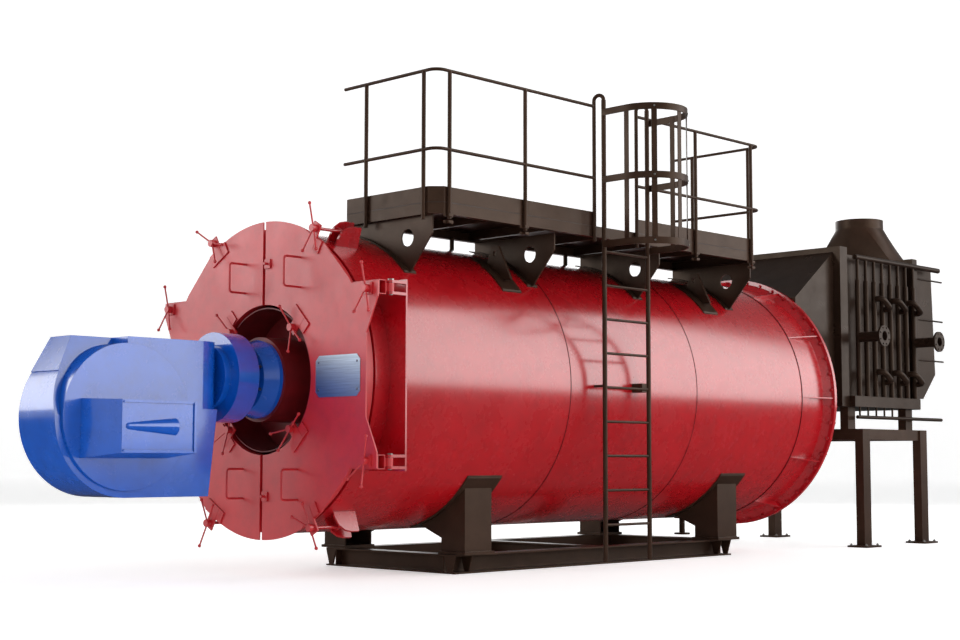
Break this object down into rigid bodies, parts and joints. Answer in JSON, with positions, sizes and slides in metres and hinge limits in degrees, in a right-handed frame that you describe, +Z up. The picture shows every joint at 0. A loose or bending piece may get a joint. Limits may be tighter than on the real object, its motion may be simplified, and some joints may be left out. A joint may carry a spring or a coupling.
{
  "type": "industrial fire-tube boiler with burner and heat recovery unit",
  "caption": "Horizontal cylindrical boiler on a skid, with a forced-draught burner in a two-leaf front door, a caged ladder to a railed platform, and a flue gas heat recovery unit.",
  "frame": {"origin": "on the floor, under the boiler's axis and the middle of the skid, at the underside of its middle cross beam", "axes": "+X from the front doors to the rear along the boiler's axis, +Y away from the ladder side, +Z up"},
  "size_m": [11.797, 3.403, 4.2132],
  "materials": {
    "red_shell": "gloss red enamel over sheet cladding",
    "red_doors": "semi-gloss red enamel",
    "blue_burner": "gloss blue enamel",
    "dark_steel": "semi-gloss dark brown paint",
    "unit_casing": "satin dark brown paint",
    "bare_plate": "brushed, blank",
    "bright_pins": "bare turned steel"
  },
  "bodies": {
    "boiler": {"skid_beams": "dark_steel", "skid_cross_beams": "dark_steel", "saddle_front": "dark_steel", "saddle_rear": "dark_steel", "platform_frame": "dark_steel", "platform_floor": "dark_steel", "toe_boards": "dark_steel", "platform_brackets": "dark_steel", "lifting_lugs": "dark_steel", "guard_rail_front": "dark_steel", "guard_rail_rear": "dark_steel", "ladder": "dark_steel", "ladder_cage": "dark_steel", "flue_outlet": "dark_steel", "unit_stand": "dark_steel", "blowdown_nozzle": "dark_steel", "inlet_hood": "unit_casing", "coil_casing": "unit_casing", "outlet_hood": "unit_casing", "header_pipes": "unit_casing", "drain_pipes": "unit_casing", "return_bends": "unit_casing", "water_nozzles": "unit_casing", "boiler_shell": "red_shell", "front_tube_plate": "red_shell", "rear_tube_plate": "red_shell", "rear_cover": "red_shell", "rear_band": "red_shell", "burner_recess": "red_shell", "hinge_posts": "red_shell", "clamp_brackets": "red_shell", "burner_casing": "blue_burner", "air_damper_box": "blue_burner", "burner_head": "blue_burner", "burner_flange": "blue_burner", "hinge_pins": "bright_pins"},
    "near_leaf": {"door_near": "red_doors", "door_near_arms": "red_doors", "door_near_clamps": "red_doors", "door_near_fittings": "red_doors", "data_plate": "bare_plate"},
    "far_leaf": {"door_far": "red_doors", "door_far_arms": "red_doors", "door_far_clamps": "red_doors", "door_far_handles": "red_doors"}
  },
  "joints": [
    {"name": "near_door_hinge", "type": "hinge", "parent": "boiler", "child": "near_leaf", "pos_m": [-3.237, -1.4, 1.6], "axis": [0, 0, 1], "range_deg": [0, 110]},
    {"name": "far_door_hinge", "type": "hinge", "parent": "boiler", "child": "far_leaf", "pos_m": [-3.237, 1.4, 1.6], "axis": [0, 0, -1], "range_deg": [0, 110]}
  ]
}
